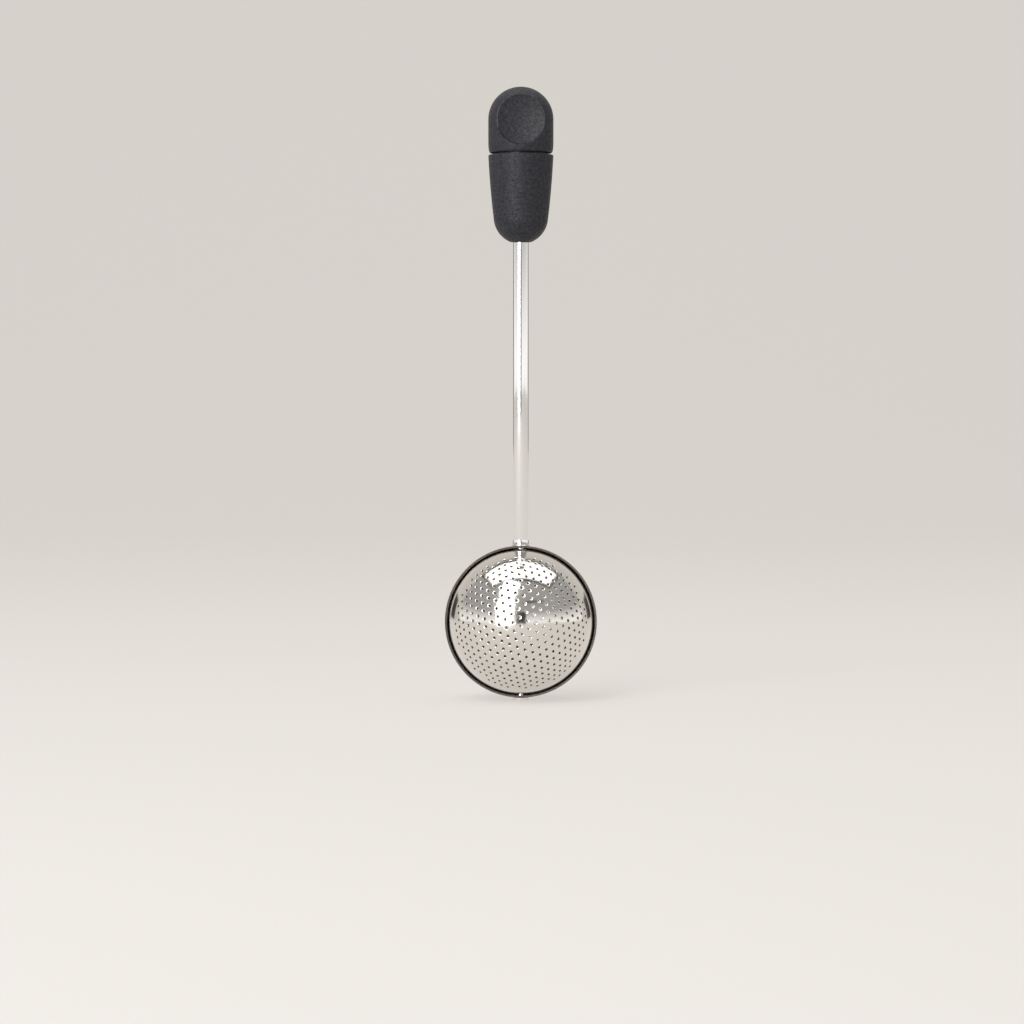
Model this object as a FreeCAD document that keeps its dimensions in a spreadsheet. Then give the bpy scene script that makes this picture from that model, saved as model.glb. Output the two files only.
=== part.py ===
"""Tea infuser: a two-shell twisting tea ball on a stem, with a soft two-part handle.

Millimetres, +Z up along the stem. The origin is on the stem's axis at the bottom of the pivot
rivet, the lowest point. The front, where the inner half shell faces when closed, is -Y.
"""

import os

import FreeCAD
import Part
import Sketcher

# Driving dimensions: alias, value in millimetres (degrees for the stop angles), what it is.
SIZES = (
    ("overall_height", 180.0, "bottom of the rivet to the top of the knob"),
    ("ball_diameter", 45.0, "outside of the outer half shell"),
    ("sheet", 0.6, "sheet steel of both half shells"),
    ("nest_gap", 0.4, "between the outer half and the inner half nested in it"),
    ("shell_overlap", 3.0, "how far each half shell goes past the middle of the ball"),
    ("tube_diameter", 4.7, "stem tube, outside"),
    ("tube_wall", 0.6, "wall of the stem tube"),
    ("rod_diameter", 2.5, "drive rod"),
    ("running_gap", 0.05, "radial clearance of every turning fit"),
    ("washer_gap", 0.05, "end clearance beside a washer or a rivet head"),
    ("handle_diameter", 19.1, "knob, and the top of the grip"),
    ("knob_height", 19.4, "soft knob, foot to top"),
    ("knob_gap", 0.5, "between knob and grip, filled by the thrust washer"),
    ("knob_foot_tuck", 0.35, "how much the knob narrows at its foot"),
    ("knob_foot_height", 3.0, "height over which the knob narrows"),
    ("pinch_thickness", 13.1, "knob between the rims of its two thumb dishes"),
    ("dish_diameter", 13.9, "rim of a thumb dish"),
    ("dish_depth", 1.0, "thumb dish, deepest point below its rim"),
    ("dish_wall_diameter", 14.8, "round wall that ends a thumb dish below"),
    ("dish_wall_drop", 0.1, "middle of that wall below the middle of the dish"),
    ("edge_radius", 0.4, "rounding of the soft edges at the gap"),
    ("grip_height", 25.6, "soft grip, foot to top"),
    ("grip_end_radius", 8.0, "ball end of the grip"),
    ("grip_flank_radius", 260.0, "long arc of the grip's side"),
    ("skin", 1.7, "soft skin over the hard cores"),
    ("core_waist_diameter", 12.4, "grip core where its end starts to narrow"),
    ("core_waist_height", 8.0, "height of the waist above the grip's foot"),
    ("core_foot_diameter", 8.2, "grip core at its lower end"),
    ("core_foot_height", 2.6, "height of the core's lower end above the grip's foot"),
    ("spigot_diameter", 10.0, "spigot of the knob core"),
    ("spigot_length", 9.6, "spigot below the top of the grip"),
    ("socket_clearance", 0.6, "below the spigot's end"),
    ("lug_reach", 1.0, "stop lug beyond the spigot"),
    ("lug_height", 1.8, "stop lug below the top of the grip"),
    ("lug_angle", 24.0, "width of the stop lug"),
    ("lug_start", 258.0, "where the stop lug starts when closed, from +X"),
    ("lug_clearance", 0.2, "round the stop lug in its track"),
    ("stop_slack", 1.0, "free angle beyond each stop"),
    ("twist_range", 180.0, "turn from closed to open"),
    ("ring_section", 1.2, "spigot ring, cross-section"),
    ("ring_depth", 4.2, "middle of the ring below the top of the grip"),
    ("pin_diameter", 1.5, "cross pin of the knob"),
    ("pin_depth", 7.3, "middle of the pin below the top of the grip"),
    ("washer_inset", 0.35, "thrust washer inside the grip core's rim"),
    ("disc_height", 1.0, "disc of the knob core above the knob's foot"),
    ("tang_width", 10.0, "tang of the knob core"),
    ("tang_thickness", 4.8, "tang of the knob core"),
    ("tang_height", 13.6, "top of the tang above the knob's foot"),
    ("rod_entry", 8.0, "rod above the knob's foot"),
    ("bush_length", 6.0, "both rod bushes, inside the tube"),
    ("flange_height", 0.8, "flange of the upper bush"),
    ("socket_floor", 0.8, "web between the bush flange and the socket"),
    ("collar_diameter", 7.0, "locking collar on the tube"),
    ("collar_height", 1.6, "locking collar on the tube"),
    ("collar_place", 7.0, "locking collar above the grip's foot"),
    ("seal_width", 0.55, "radial width of the stem seal"),
    ("seal_height", 1.4, "stem seal, up from its visible face"),
    ("seal_recess", 0.5, "visible face of the seal above the grip's foot"),
    ("weld_diameter", 5.8, "weld collar at the ball"),
    ("weld_height", 1.3, "weld collar above the top of the ball"),
    ("hub_diameter", 6.4, "boss inside the inner half"),
    ("hub_height", 2.6, "boss below the inner half's crown"),
    ("rivet_head_diameter", 5.0, "pivot rivet head"),
    ("rivet_head", 0.8, "pivot rivet head, height"),
    ("rivet_diameter", 2.0, "pivot rivet shank"),
    ("cap_diameter", 4.4, "pivot cap inside the ball"),
    ("cap_height", 1.6, "pivot cap above the inner half's floor"),
)

# Radii and places worked out from the sizes, as expressions for the document.
BALL_RADIUS = "(sizes.ball_diameter / 2)"
INNER_RADIUS = f"({BALL_RADIUS} - sizes.sheet - sizes.nest_gap)"
BALL_CENTRE = f"(sizes.rivet_head + sizes.washer_gap + {BALL_RADIUS})"
TUBE_RADIUS = "(sizes.tube_diameter / 2)"
TUBE_BORE = f"({TUBE_RADIUS} - sizes.tube_wall)"
TUBE_FOOT = f"({BALL_CENTRE} + {BALL_RADIUS} - sizes.sheet)"
ROD_RADIUS = "(sizes.rod_diameter / 2)"
ROD_HOLE = f"({ROD_RADIUS} + sizes.running_gap)"
HANDLE_RADIUS = "(sizes.handle_diameter / 2)"
KNOB_FOOT = "(sizes.overall_height - sizes.knob_height)"
DOME_CENTRE = f"(sizes.overall_height - {HANDLE_RADIUS})"
GRIP_TOP = f"({KNOB_FOOT} - sizes.knob_gap)"
GRIP_FOOT = f"({GRIP_TOP} - sizes.grip_height)"
CORE_RADIUS = f"({HANDLE_RADIUS} - sizes.skin)"
SPIGOT_RADIUS = "(sizes.spigot_diameter / 2)"
SPIGOT_FOOT = f"({GRIP_TOP} - sizes.spigot_length)"
SOCKET_RADIUS = f"({SPIGOT_RADIUS} + sizes.running_gap)"
SOCKET_FOOT = f"({SPIGOT_FOOT} - sizes.socket_clearance)"
LUG_RADIUS = f"({SPIGOT_RADIUS} + sizes.lug_reach)"
TRACK_RADIUS = f"({LUG_RADIUS} + sizes.lug_clearance)"
FLANGE_TOP = f"({SOCKET_FOOT} - sizes.socket_floor)"
TUBE_TOP = f"({FLANGE_TOP} - sizes.flange_height)"
HUB_FOOT = f"({BALL_CENTRE} + {INNER_RADIUS} - sizes.sheet - sizes.hub_height)"
RIVET_RADIUS = "(sizes.rivet_diameter / 2)"
CAP_TOP = f"({BALL_CENTRE} - {INNER_RADIUS} + sizes.sheet + sizes.cap_height)"
DISH_RADIUS = "((pow(sizes.dish_diameter / 2; 2) + pow(sizes.dish_depth; 2)) / (2 * sizes.dish_depth))"
HALF_SINE = "sqrt(0.5)"
SAME_PLACE = 1e-4


def sheet_of_sizes(doc):
    """The spreadsheet of driving dimensions: value in A, what it is in B."""
    sheet = doc.addObject("Spreadsheet::Sheet", "sizes")
    for row, (alias, value, meaning) in enumerate(SIZES, start=1):
        sheet.set(f"A{row}", str(value))
        sheet.setAlias(f"A{row}", alias)
        sheet.set(f"B{row}", meaning)
    doc.recompute()


def bind(obj, **expressions):
    """Tie properties of an object to expressions on the sizes."""
    for name, expression in expressions.items():
        obj.setExpression(name.replace("__", "."), str(expression))
    return obj


def cylinder(doc, radius, foot, top, angle="360", turn="0"):
    """An upright cylinder on the stem's axis, or a sector of one that starts at angle turn."""
    piece = doc.addObject("Part::Cylinder", "cylinder")
    bind(piece, Radius=radius, Height=f"{top} - {foot}", Angle=angle, Placement__Base__z=foot)
    piece.Placement.Rotation.Axis = FreeCAD.Vector(0, 0, 1)
    return bind(piece, Placement__Rotation__Angle=turn)


def cone(doc, foot_radius, top_radius, foot, top):
    """An upright cone on the stem's axis."""
    piece = doc.addObject("Part::Cone", "cone")
    return bind(piece, Radius1=foot_radius, Radius2=top_radius, Height=f"{top} - {foot}",
                Placement__Base__z=foot)


def ball(doc, radius):
    """A full sphere about the centre of the ball."""
    piece = doc.addObject("Part::Sphere", "ball")
    return bind(piece, Radius=radius, Placement__Base__z=BALL_CENTRE)


def block(doc, width, depth, foot, top):
    """An upright block centred on the stem's axis."""
    piece = doc.addObject("Part::Box", "block")
    bind(piece, Length=width, Width=depth, Height=f"{top} - {foot}")
    return bind(piece, Placement__Base__x=f"-{width} / 2", Placement__Base__y=f"-{depth} / 2",
                Placement__Base__z=foot)


def fuse(doc, pieces):
    """One solid out of several."""
    joined = doc.addObject("Part::MultiFuse", "joined")
    joined.Shapes = pieces
    joined.Refine = True
    return joined


def cut(doc, base, *tools):
    """The base without the tools."""
    for tool in tools:
        result = doc.addObject("Part::Cut", "cut")
        result.Base = base
        result.Tool = tool
        base = result
    return base


def common(doc, base, tool):
    """What the base and the tool share."""
    shared = doc.addObject("Part::Common", "shared")
    shared.Base = base
    shared.Tool = tool
    return shared


def ring(doc, inner, outer, foot, top):
    """A plain ring, such as a washer, bush or collar."""
    return cut(doc, cylinder(doc, outer, foot, top), cylinder(doc, inner, foot, top))


def origin_plane(body, role):
    """The body's own origin plane of that role."""
    return next(plane for plane in body.Origin.OriginFeatures if plane.Role == role)


class Outline:
    """A sketch on one of a body's origin planes, its points tied to expressions."""

    def __init__(self, body, name, role):
        self.sketch = body.newObject("Sketcher::SketchObject", name)
        self.sketch.AttachmentSupport = (origin_plane(body, role), [""])
        self.sketch.MapMode = "FlatFace"

    def point(self, place):
        """Where a pair of expressions lies in the sketch now."""
        across, up = (float(self.sketch.evalExpression(str(value))) for value in place)
        return FreeCAD.Vector(across, up, 0)

    def line(self, start, end):
        """A straight edge, not yet tied."""
        return self.sketch.addGeometry(Part.LineSegment(self.point(start), self.point(end)), False)

    def arc(self, start, middle, end):
        """An arc through three places, not yet tied, and which of its ends is at the start."""
        points = [self.point(place) for place in (start, middle, end)]
        edge = self.sketch.addGeometry(Part.Arc(*points), False)
        forward = self.sketch.getPoint(edge, 1).sub(points[0]).Length < SAME_PLACE
        return edge, (1, 2) if forward else (2, 1)

    def tie(self, edge, end, across=None, up=None):
        """Tie a point of an edge, 1 its start, 2 its end, 3 its centre, to distances from the axes."""
        for kind, value, axis in (("DistanceX", across, -2), ("DistanceY", up, -1)):
            if value == "0":
                self.sketch.addConstraint(Sketcher.Constraint("PointOnObject", edge, end, axis))
            elif value is not None:
                place = self.sketch.getPoint(edge, end)
                distance = place.x if kind == "DistanceX" else place.y
                index = self.sketch.addConstraint(
                    Sketcher.Constraint(kind, -1, 1, edge, end, distance))
                self.sketch.setExpression(f"Constraints[{index}]", value)

    def join(self, first, first_end, second, second_end, smooth=False):
        """Make two edges meet, smoothly if asked."""
        kind = "Tangent" if smooth else "Coincident"
        self.sketch.addConstraint(Sketcher.Constraint(kind, first, first_end, second, second_end))

    def polygon(self, corners):
        """A closed outline of straight edges with every corner tied."""
        edges = [self.line(start, end) for start, end in zip(corners, corners[1:] + corners[:1])]
        for edge, following, corner in zip(edges, edges[1:] + edges[:1], corners):
            self.join(edge, 2, following, 1)
            self.tie(edge, 1, *corner)


def revolve(doc, body, sketch):
    """Turn a sketch about the stem's axis."""
    turned = body.newObject("PartDesign::Revolution", "turned")
    turned.Profile = sketch
    turned.ReferenceAxis = (sketch, ["V_Axis"])
    turned.Angle = 360
    doc.recompute()
    return turned


def turned_body(doc, name, corners):
    """A body turned from a closed outline of (radius, height) corners."""
    body = doc.addObject("PartDesign::Body", name)
    outline = Outline(body, f"{name}_outline", "XZ_Plane")
    outline.polygon(corners)
    revolve(doc, body, outline.sketch)
    return body


def edges_at(shape, height):
    """Names of the outer round edges that lie flat at a height."""
    found = []
    for number, edge in enumerate(shape.Edges, start=1):
        box = edge.BoundBox
        if abs(box.ZMin - height) < SAME_PLACE and abs(box.ZMax - height) < SAME_PLACE:
            found.append((box.XLength, f"Edge{number}"))
    widest = max(width for width, name in found)
    return [name for width, name in found if widest - width < SAME_PLACE]


def round_edges(doc, body, feature, height):
    """Round a soft piece's outer edge at the knob gap."""
    rounded = body.newObject("PartDesign::Fillet", "rounded")
    rounded.Base = (feature, edges_at(feature.Shape, float(feature.evalExpression(height))))
    bind(rounded, Radius="sizes.edge_radius")
    doc.recompute()
    return rounded


def name_piece(piece, label):
    """Give a finished sub-part the label that names its file."""
    piece.Label = label
    return piece


# Handle ---------------------------------------------------------------------------------------


def knob_outside(doc):
    """The knob's outer form: a domed round body, before its dishes are pressed."""
    body = doc.addObject("PartDesign::Body", "knob_outside")
    outline = Outline(body, "knob_outline", "XZ_Plane")
    foot_radius = f"({HANDLE_RADIUS} - sizes.knob_foot_tuck)"
    belt = f"({KNOB_FOOT} + sizes.knob_foot_height)"
    tuck_middle = (f"{HANDLE_RADIUS} - sizes.knob_foot_tuck / 4",
                   f"{KNOB_FOOT} + sizes.knob_foot_height / 2")
    dome_middle = (f"{HANDLE_RADIUS} * {HALF_SINE}", f"{DOME_CENTRE} + {HANDLE_RADIUS} * {HALF_SINE}")
    foot = outline.line(("0", KNOB_FOOT), (foot_radius, KNOB_FOOT))
    tuck, tuck_ends = outline.arc((foot_radius, KNOB_FOOT), tuck_middle, (HANDLE_RADIUS, belt))
    side = outline.line((HANDLE_RADIUS, belt), (HANDLE_RADIUS, DOME_CENTRE))
    dome, dome_ends = outline.arc((HANDLE_RADIUS, DOME_CENTRE), dome_middle, ("0", "sizes.overall_height"))
    axis = outline.line(("0", "sizes.overall_height"), ("0", KNOB_FOOT))
    outline.join(foot, 2, tuck, tuck_ends[0])
    outline.join(tuck, tuck_ends[1], side, 1, smooth=True)
    outline.join(side, 2, dome, dome_ends[0], smooth=True)
    outline.join(dome, dome_ends[1], axis, 1)
    outline.join(axis, 2, foot, 1)
    outline.tie(foot, 1, "0", KNOB_FOOT)
    outline.tie(foot, 2, foot_radius, KNOB_FOOT)
    outline.tie(side, 1, HANDLE_RADIUS, belt)
    outline.tie(dome, 3, "0", DOME_CENTRE)
    outline.tie(dome, dome_ends[1], "0")
    turned = revolve(doc, body, outline.sketch)
    round_edges(doc, body, turned, KNOB_FOOT)
    return body


def dishes(doc):
    """The tools that press the thumb dishes, front and back: a ball inside a round wall."""
    tools = []
    for sign, turn in (("-", 90), ("", -90)):
        press = doc.addObject("Part::Sphere", "press")
        place = f"{sign}(sizes.pinch_thickness / 2 - sizes.dish_depth + {DISH_RADIUS})"
        bind(press, Radius=DISH_RADIUS, Placement__Base__y=place, Placement__Base__z=DOME_CENTRE)
        wall = doc.addObject("Part::Cylinder", "wall")
        bind(wall, Radius="sizes.dish_wall_diameter / 2", Height="sizes.handle_diameter",
             Placement__Base__z=f"{DOME_CENTRE} - sizes.dish_wall_drop")
        wall.Placement.Rotation = FreeCAD.Rotation(FreeCAD.Vector(1, 0, 0), turn)
        tools.append(common(doc, press, wall))
    return tools


def knob_core_outside(doc):
    """The hard core of the knob without its bores: disc, tang, spigot and stop lug."""
    disc = cylinder(doc, f"({CORE_RADIUS} - sizes.knob_foot_tuck)", KNOB_FOOT,
                    f"({KNOB_FOOT} + sizes.disc_height)")
    tang = block(doc, "sizes.tang_width", "sizes.tang_thickness", KNOB_FOOT,
                 f"({KNOB_FOOT} + sizes.tang_height)")
    spigot = cylinder(doc, SPIGOT_RADIUS, SPIGOT_FOOT, KNOB_FOOT)
    lug = cylinder(doc, LUG_RADIUS, f"({GRIP_TOP} - sizes.lug_height)", KNOB_FOOT,
                   "sizes.lug_angle", "sizes.lug_start")
    return fuse(doc, [disc, tang, spigot, lug])


def ring_at_spigot(doc, section):
    """A torus round the spigot whose outside is level with the spigot's."""
    torus = doc.addObject("Part::Torus", "torus")
    return bind(torus, Radius1=f"{SPIGOT_RADIUS} - sizes.ring_section / 2", Radius2=section,
                Placement__Base__z=f"{GRIP_TOP} - sizes.ring_depth")


def cross_pin(doc):
    """The pin across the spigot and the rod, just short of the spigot's surface."""
    pin = doc.addObject("Part::Cylinder", "pin")
    half = f"({SPIGOT_RADIUS} - 2 * sizes.running_gap)"
    bind(pin, Radius="sizes.pin_diameter / 2", Height=f"2 * {half}", Placement__Base__x=f"-{half}",
         Placement__Base__z=f"{GRIP_TOP} - sizes.pin_depth")
    pin.Placement.Rotation = FreeCAD.Rotation(FreeCAD.Vector(0, 0, 1), FreeCAD.Vector(1, 0, 0))
    return pin


def ring_groove(doc):
    """A square groove in the spigot for the ring."""
    middle = f"({GRIP_TOP} - sizes.ring_depth)"
    half = "(sizes.ring_section / 2)"
    return ring(doc, f"({SPIGOT_RADIUS} - sizes.ring_section)", SOCKET_RADIUS,
                f"({middle} - {half})", f"({middle} + {half})")


def knob(doc):
    """Skin, core, cross pin and spigot ring: everything of the knob."""
    outside = knob_core_outside(doc)
    pin = name_piece(cross_pin(doc), "knob_pin")
    rod_bore = cylinder(doc, ROD_RADIUS, SPIGOT_FOOT, f"({KNOB_FOOT} + sizes.rod_entry)")
    core = cut(doc, outside, rod_bore, ring_groove(doc), pin)
    skin = cut(doc, knob_outside(doc), outside, *dishes(doc))
    return [name_piece(skin, "knob_skin"), name_piece(core, "knob_core"), pin,
            name_piece(ring_at_spigot(doc, "sizes.ring_section / 2"), "spigot_o_ring")]


def thrust_washer(doc):
    """The slippery washer that fills the gap between the stop track and the grip core's rim."""
    inner = f"({TRACK_RADIUS} + sizes.lug_clearance)"
    outer = f"({CORE_RADIUS} - sizes.washer_inset)"
    top = f"({KNOB_FOOT} - sizes.washer_gap)"
    return name_piece(ring(doc, inner, outer, GRIP_TOP, top), "thrust_washer")


def grip_outside(doc):
    """The grip's outer form: a long arc down to a round end, with a mouth for the stem seal."""
    body = doc.addObject("PartDesign::Body", "grip_outside")
    outline = Outline(body, "grip_outline", "XZ_Plane")
    mouth = f"({TUBE_RADIUS} + sizes.seal_width)"
    end_height = f"({GRIP_FOOT} + sqrt(pow(sizes.grip_end_radius; 2) - pow({mouth}; 2)))"
    # The two arcs start out meeting at the ball end's widest point. Tying them tangent moves it.
    meeting = ("sizes.grip_end_radius", end_height)
    flank_middle = (f"(({HANDLE_RADIUS} + sizes.grip_end_radius) / 2 + sizes.edge_radius / 3)",
                    f"(({GRIP_TOP} + {end_height}) / 2)")
    end_middle = (f"sizes.grip_end_radius * {HALF_SINE}",
                  f"{end_height} - sizes.grip_end_radius * {HALF_SINE}")
    top = outline.line(("0", GRIP_TOP), (HANDLE_RADIUS, GRIP_TOP))
    flank, flank_ends = outline.arc((HANDLE_RADIUS, GRIP_TOP), flank_middle, meeting)
    end, end_ends = outline.arc(meeting, end_middle, (mouth, GRIP_FOOT))
    foot = outline.line((mouth, GRIP_FOOT), ("0", GRIP_FOOT))
    axis = outline.line(("0", GRIP_FOOT), ("0", GRIP_TOP))
    outline.join(top, 2, flank, flank_ends[0])
    outline.join(flank, flank_ends[1], end, end_ends[0], smooth=True)
    outline.join(end, end_ends[1], foot, 1)
    outline.join(foot, 2, axis, 1)
    outline.join(axis, 2, top, 1)
    outline.tie(top, 1, "0", GRIP_TOP)
    outline.tie(top, 2, HANDLE_RADIUS, GRIP_TOP)
    outline.tie(end, 3, "0", end_height)
    outline.tie(foot, 1, mouth, GRIP_FOOT)
    outline.tie(foot, 2, "0", None)
    radius = outline.sketch.addConstraint(
        Sketcher.Constraint("Radius", flank, float(outline.sketch.evalExpression("sizes.grip_flank_radius"))))
    outline.sketch.setExpression(f"Constraints[{radius}]", "sizes.grip_flank_radius")
    turned = revolve(doc, body, outline.sketch)
    round_edges(doc, body, turned, GRIP_TOP)
    return body


def grip_core_outside(doc):
    """The hard core of the grip without its bores."""
    return turned_body(doc, "grip_core_outside", [
        ("0", f"{GRIP_FOOT} + sizes.core_foot_height"),
        ("sizes.core_foot_diameter / 2", f"{GRIP_FOOT} + sizes.core_foot_height"),
        ("sizes.core_waist_diameter / 2", f"{GRIP_FOOT} + sizes.core_waist_height"),
        (CORE_RADIUS, GRIP_TOP),
        ("0", GRIP_TOP)])


def tube_collar(doc):
    """The ring on the tube that the grip core is moulded round."""
    foot = f"({GRIP_FOOT} + sizes.collar_place)"
    top = f"({foot} + sizes.collar_height)"
    return name_piece(ring(doc, TUBE_RADIUS, "sizes.collar_diameter / 2", foot, top), "tube_collar")


def stem_seal(doc):
    """The ring that closes the grip's mouth round the stem."""
    foot = f"({GRIP_FOOT} + sizes.seal_recess)"
    outer = f"({TUBE_RADIUS} + sizes.seal_width)"
    return name_piece(ring(doc, TUBE_RADIUS, outer, foot, f"({foot} + sizes.seal_height)"), "stem_seal")


def grip(doc):
    """Skin, core, locking collar and stem seal: everything of the grip."""
    core_outside = grip_core_outside(doc)
    collar = tube_collar(doc)
    socket = cylinder(doc, SOCKET_RADIUS, SOCKET_FOOT, GRIP_TOP)
    track = cylinder(doc, TRACK_RADIUS, f"({GRIP_TOP} - sizes.lug_height - sizes.lug_clearance)", GRIP_TOP,
                     "sizes.twist_range + sizes.lug_angle + 2 * sizes.stop_slack",
                     "sizes.lug_start - sizes.stop_slack")
    tube_seat = cylinder(doc, TUBE_RADIUS, GRIP_FOOT, FLANGE_TOP)
    rod_hole = cylinder(doc, f"({ROD_RADIUS} + sizes.lug_clearance)", FLANGE_TOP, SOCKET_FOOT)
    collar_seat = cylinder(doc, "sizes.collar_diameter / 2", f"({GRIP_FOOT} + sizes.collar_place)",
                           f"({GRIP_FOOT} + sizes.collar_place + sizes.collar_height)")
    core = cut(doc, core_outside, socket, track, tube_seat, rod_hole, collar_seat)
    mouth = cylinder(doc, f"({TUBE_RADIUS} + sizes.seal_width)", GRIP_FOOT,
                     f"({GRIP_FOOT} + sizes.core_foot_height)")
    skin = cut(doc, grip_outside(doc), core_outside, mouth)
    return [name_piece(skin, "grip_skin"), name_piece(core, "grip_core"), collar, stem_seal(doc)]


# Stem -----------------------------------------------------------------------------------------


def stem(doc):
    """Tube, its two bushes, and the rod that turns in them."""
    tube = ring(doc, TUBE_BORE, TUBE_RADIUS, TUBE_FOOT, TUBE_TOP)
    lower_foot = f"({TUBE_FOOT} + sizes.washer_gap)"
    lower = ring(doc, ROD_HOLE, TUBE_BORE, lower_foot, f"({lower_foot} + sizes.bush_length)")
    sleeve = cylinder(doc, TUBE_BORE, f"({TUBE_TOP} - sizes.bush_length)", TUBE_TOP)
    flange = cylinder(doc, TUBE_RADIUS, TUBE_TOP, FLANGE_TOP)
    upper = cut(doc, fuse(doc, [sleeve, flange]),
                cylinder(doc, ROD_HOLE, f"({TUBE_TOP} - sizes.bush_length)", FLANGE_TOP))
    rod = cut(doc, cylinder(doc, ROD_RADIUS, HUB_FOOT, f"({KNOB_FOOT} + sizes.rod_entry)"), cross_pin(doc))
    return [name_piece(tube, "stem_tube"), name_piece(lower, "lower_bush"),
            name_piece(upper, "upper_bush"), name_piece(rod, "drive_rod")]


# Ball -----------------------------------------------------------------------------------------


def half_shell(doc, radius, front):
    """A sheet shell about the ball's centre, cut off a little past the middle."""
    shell = cut(doc, ball(doc, radius), ball(doc, f"({radius} - sizes.sheet)"))
    side = f"(2 * {BALL_RADIUS})"
    keep = doc.addObject("Part::Box", "keep")
    near = f"-{side} + sizes.shell_overlap" if front else "-sizes.shell_overlap"
    bind(keep, Length=side, Width=side, Height=side, Placement__Base__x=f"-{BALL_RADIUS}",
         Placement__Base__y=near, Placement__Base__z=f"{BALL_CENTRE} - {BALL_RADIUS}")
    return common(doc, shell, keep)


def outer_half(doc):
    """The fixed half, with the tube welded in its crown and the rivet turning in its floor."""
    tube_hole = cylinder(doc, TUBE_RADIUS, BALL_CENTRE, f"({BALL_CENTRE} + {BALL_RADIUS})")
    rivet_hole = cylinder(doc, f"({RIVET_RADIUS} + sizes.running_gap)", "0", BALL_CENTRE)
    return name_piece(cut(doc, half_shell(doc, BALL_RADIUS, False), tube_hole, rivet_hole), "outer_half")


def inner_half(doc):
    """The turning half, with the rod through its crown and the rivet fixed in its floor."""
    rod_hole = cylinder(doc, ROD_RADIUS, BALL_CENTRE, f"({BALL_CENTRE} + {BALL_RADIUS})")
    rivet_hole = cylinder(doc, RIVET_RADIUS, "0", BALL_CENTRE)
    return name_piece(cut(doc, half_shell(doc, INNER_RADIUS, True), rod_hole, rivet_hole), "inner_half")


def weld_collar(doc):
    """The flared collar that fills the corner between tube and outer half."""
    foot = f"({BALL_CENTRE} + {BALL_RADIUS} - sizes.sheet)"
    top = f"({BALL_CENTRE} + {BALL_RADIUS} + sizes.weld_height)"
    flare = cone(doc, "sizes.weld_diameter / 2", f"({TUBE_RADIUS} + sizes.running_gap)", foot, top)
    return name_piece(cut(doc, flare, ball(doc, BALL_RADIUS), cylinder(doc, TUBE_RADIUS, foot, top)),
                      "weld_collar")


def hub_washer(doc):
    """The washer on the rod between the inner half's crown and the end of the tube."""
    foot = f"({BALL_CENTRE} + {INNER_RADIUS})"
    return name_piece(ring(doc, ROD_RADIUS, f"({TUBE_RADIUS} - 2 * sizes.running_gap)", foot,
                           f"({TUBE_FOOT} - sizes.washer_gap)"), "hub_washer")


def inner_hub(doc):
    """The boss under the inner half's crown that the rod is welded into."""
    boss = cylinder(doc, "sizes.hub_diameter / 2", HUB_FOOT, f"({BALL_CENTRE} + {INNER_RADIUS})")
    shaped = common(doc, boss, ball(doc, f"({INNER_RADIUS} - sizes.sheet)"))
    bore = cylinder(doc, ROD_RADIUS, HUB_FOOT, f"({BALL_CENTRE} + {INNER_RADIUS})")
    return name_piece(cut(doc, shaped, bore), "inner_hub")


def pivot(doc):
    """The rivet through both floors and the cap pressed on its end."""
    head = cylinder(doc, "sizes.rivet_head_diameter / 2", "0", "sizes.rivet_head")
    shank = cylinder(doc, RIVET_RADIUS, "0", CAP_TOP)
    floor = f"({BALL_CENTRE} - {INNER_RADIUS})"
    blank = cylinder(doc, "sizes.cap_diameter / 2", floor, CAP_TOP)
    shaped = common(doc, blank, ball(doc, f"({INNER_RADIUS} - sizes.sheet)"))
    cap = cut(doc, shaped, cylinder(doc, RIVET_RADIUS, floor, CAP_TOP))
    return [name_piece(fuse(doc, [head, shank]), "pivot_rivet"), name_piece(cap, "pivot_cap")]


# Whole object ---------------------------------------------------------------------------------


def check(doc, pieces):
    """Stop if anything in the document failed or a sub-part isn't one valid solid."""
    for obj in doc.Objects:
        if {"Invalid", "Error"} & set(obj.State):
            raise RuntimeError(f"{obj.Name} ({obj.Label}) failed: {obj.State}")
    for piece in pieces:
        shape = piece.Shape
        if shape.isNull() or not shape.isValid() or len(shape.Solids) != 1:
            raise RuntimeError(f"{piece.Label} isn't one valid solid")


def main():
    """Build the document and write one file for each sub-part."""
    doc = FreeCAD.newDocument("tea_infuser")
    sheet_of_sizes(doc)
    pieces = knob(doc) + [thrust_washer(doc)] + grip(doc) + stem(doc)
    pieces += [outer_half(doc), inner_half(doc), weld_collar(doc), hub_washer(doc), inner_hub(doc)]
    pieces += pivot(doc)
    doc.recompute()
    check(doc, pieces)
    os.makedirs("parts", exist_ok=True)
    for piece in pieces:
        piece.Shape.exportStep(f"parts/{piece.Label}.step")
        print(f"{piece.Label}: {piece.Shape.Volume:.1f} mm3")


main()
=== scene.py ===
"""Tea infuser: a punched steel ball of two nested half shells on a stem, opened by a twisting soft knob."""

import logging
import math
from collections.abc import Iterable, Sequence
from dataclasses import dataclass
from enum import Enum

import bmesh
import bpy
from bmesh.types import BMesh
from mathutils import Matrix, Vector


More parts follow.
